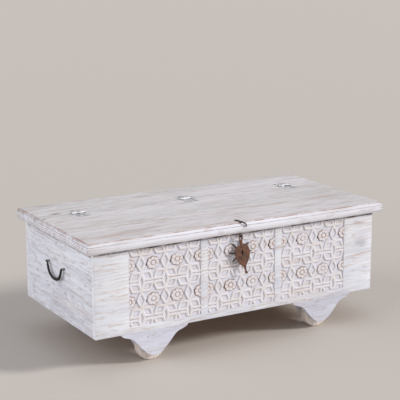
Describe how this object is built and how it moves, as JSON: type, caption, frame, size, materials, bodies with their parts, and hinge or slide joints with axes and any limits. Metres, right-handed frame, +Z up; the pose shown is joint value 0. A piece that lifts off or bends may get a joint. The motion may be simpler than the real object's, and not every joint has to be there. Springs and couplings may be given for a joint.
{
  "type": "storage chest",
  "caption": "Low carved wooden storage chest with a hinged table-like lid, a wrought hasp, bail end handles and turning wooden wheels behind scrolled brackets.",
  "frame": {"origin": "on the floor below the middle of the chest's bounding box", "axes": "+X along the chest to its right end, seen from the front; +Y from the carved front to the back; +Z up"},
  "size_m": [1.15, 0.5832, 0.439],
  "materials": {
    "whitewashed_wood": "limewashed hardwood, satin, worn brown along the edges",
    "raw_wood": "sawn hardwood, unpainted, matte",
    "wheel_wood": "turned hardwood, aged, matte",
    "rusty_iron": "forged iron, rust brown, rough",
    "black_iron": "forged iron, dark brown-black, waxed",
    "nickel_plate": "nickel plated steel, slightly dulled",
    "bright_steel": "plain bright steel, machined"
  },
  "bodies": {
    "case": {"front_board": "whitewashed_wood", "back_board": "whitewashed_wood", "left_end_board": "whitewashed_wood", "right_end_board": "whitewashed_wood", "rear_top_strip": "whitewashed_wood", "front_left_wheel_bracket": "whitewashed_wood", "front_right_wheel_bracket": "whitewashed_wood", "back_left_wheel_bracket": "whitewashed_wood", "back_right_wheel_bracket": "whitewashed_wood", "front_cleat": "raw_wood", "back_cleat": "raw_wood", "left_cleat": "raw_wood", "right_cleat": "raw_wood", "left_floor_batten": "raw_wood", "right_floor_batten": "raw_wood", "front_floor_plank": "raw_wood", "middle_floor_plank": "raw_wood", "back_floor_plank": "raw_wood", "front_left_corner_post": "raw_wood", "front_right_corner_post": "raw_wood", "back_left_corner_post": "raw_wood", "back_right_corner_post": "raw_wood", "front_left_inner_wheel_block": "raw_wood", "front_right_inner_wheel_block": "raw_wood", "back_left_inner_wheel_block": "raw_wood", "back_right_inner_wheel_block": "raw_wood", "front_left_axle_pin": "bright_steel", "front_right_axle_pin": "bright_steel", "back_left_axle_pin": "bright_steel", "back_right_axle_pin": "bright_steel", "strip_hinge_screws": "nickel_plate", "left_hinge_strip_leaf": "nickel_plate", "left_hinge_pin": "nickel_plate", "middle_hinge_strip_leaf": "nickel_plate", "middle_hinge_pin": "nickel_plate", "right_hinge_strip_leaf": "nickel_plate", "right_hinge_pin": "nickel_plate", "star_plate": "rusty_iron", "lock_staple": "rusty_iron", "left_handle_eyes": "black_iron", "right_handle_eyes": "black_iron"},
    "lid": {"lid_panel": "whitewashed_wood", "left_lid_batten": "raw_wood", "right_lid_batten": "raw_wood", "lid_batten_screws": "bright_steel", "left_hinge_lid_leaf": "nickel_plate", "middle_hinge_lid_leaf": "nickel_plate", "right_hinge_lid_leaf": "nickel_plate", "lid_hinge_screws": "nickel_plate", "hasp_split_pin": "black_iron"},
    "hasp": {"hasp": "rusty_iron"},
    "left_bail": {"left_bail_handle": "black_iron"},
    "right_bail": {"right_bail_handle": "black_iron"},
    "front_left_wheel": {"front_left_wheel": "wheel_wood"},
    "front_right_wheel": {"front_right_wheel": "wheel_wood"},
    "back_left_wheel": {"back_left_wheel": "wheel_wood"},
    "back_right_wheel": {"back_right_wheel": "wheel_wood"}
  },
  "joints": [
    {"name": "lid_hinge", "type": "hinge", "parent": "case", "child": "lid", "pos_m": [0, 0.1086, 0.4345], "axis": [-1, 0, 0], "range_deg": [0, 180]},
    {"name": "hasp_swing", "type": "hinge", "parent": "lid", "child": "hasp", "pos_m": [-0.015, -0.28, 0.386], "axis": [-1, 0, 0], "range_deg": [-7, 140]},
    {"name": "left_bail_swing", "type": "hinge", "parent": "case", "child": "left_bail", "pos_m": [-0.5555, 0.02, 0.29], "axis": [0, 1, 0], "range_deg": [-8, 188]},
    {"name": "right_bail_swing", "type": "hinge", "parent": "case", "child": "right_bail", "pos_m": [0.5555, 0.02, 0.29], "axis": [0, -1, 0], "range_deg": [-8, 188]},
    {"name": "front_left_wheel_spin", "type": "hinge", "parent": "case", "child": "front_left_wheel", "pos_m": [-0.331, -0.2255, 0.05], "axis": [0, 1, 0], "continuous": true},
    {"name": "front_right_wheel_spin", "type": "hinge", "parent": "case", "child": "front_right_wheel", "pos_m": [0.331, -0.2255, 0.05], "axis": [0, 1, 0], "continuous": true},
    {"name": "back_left_wheel_spin", "type": "hinge", "parent": "case", "child": "back_left_wheel", "pos_m": [-0.331, 0.2427, 0.05], "axis": [0, 1, 0], "continuous": true},
    {"name": "back_right_wheel_spin", "type": "hinge", "parent": "case", "child": "back_right_wheel", "pos_m": [0.331, 0.2427, 0.05], "axis": [0, 1, 0], "continuous": true}
  ]
}
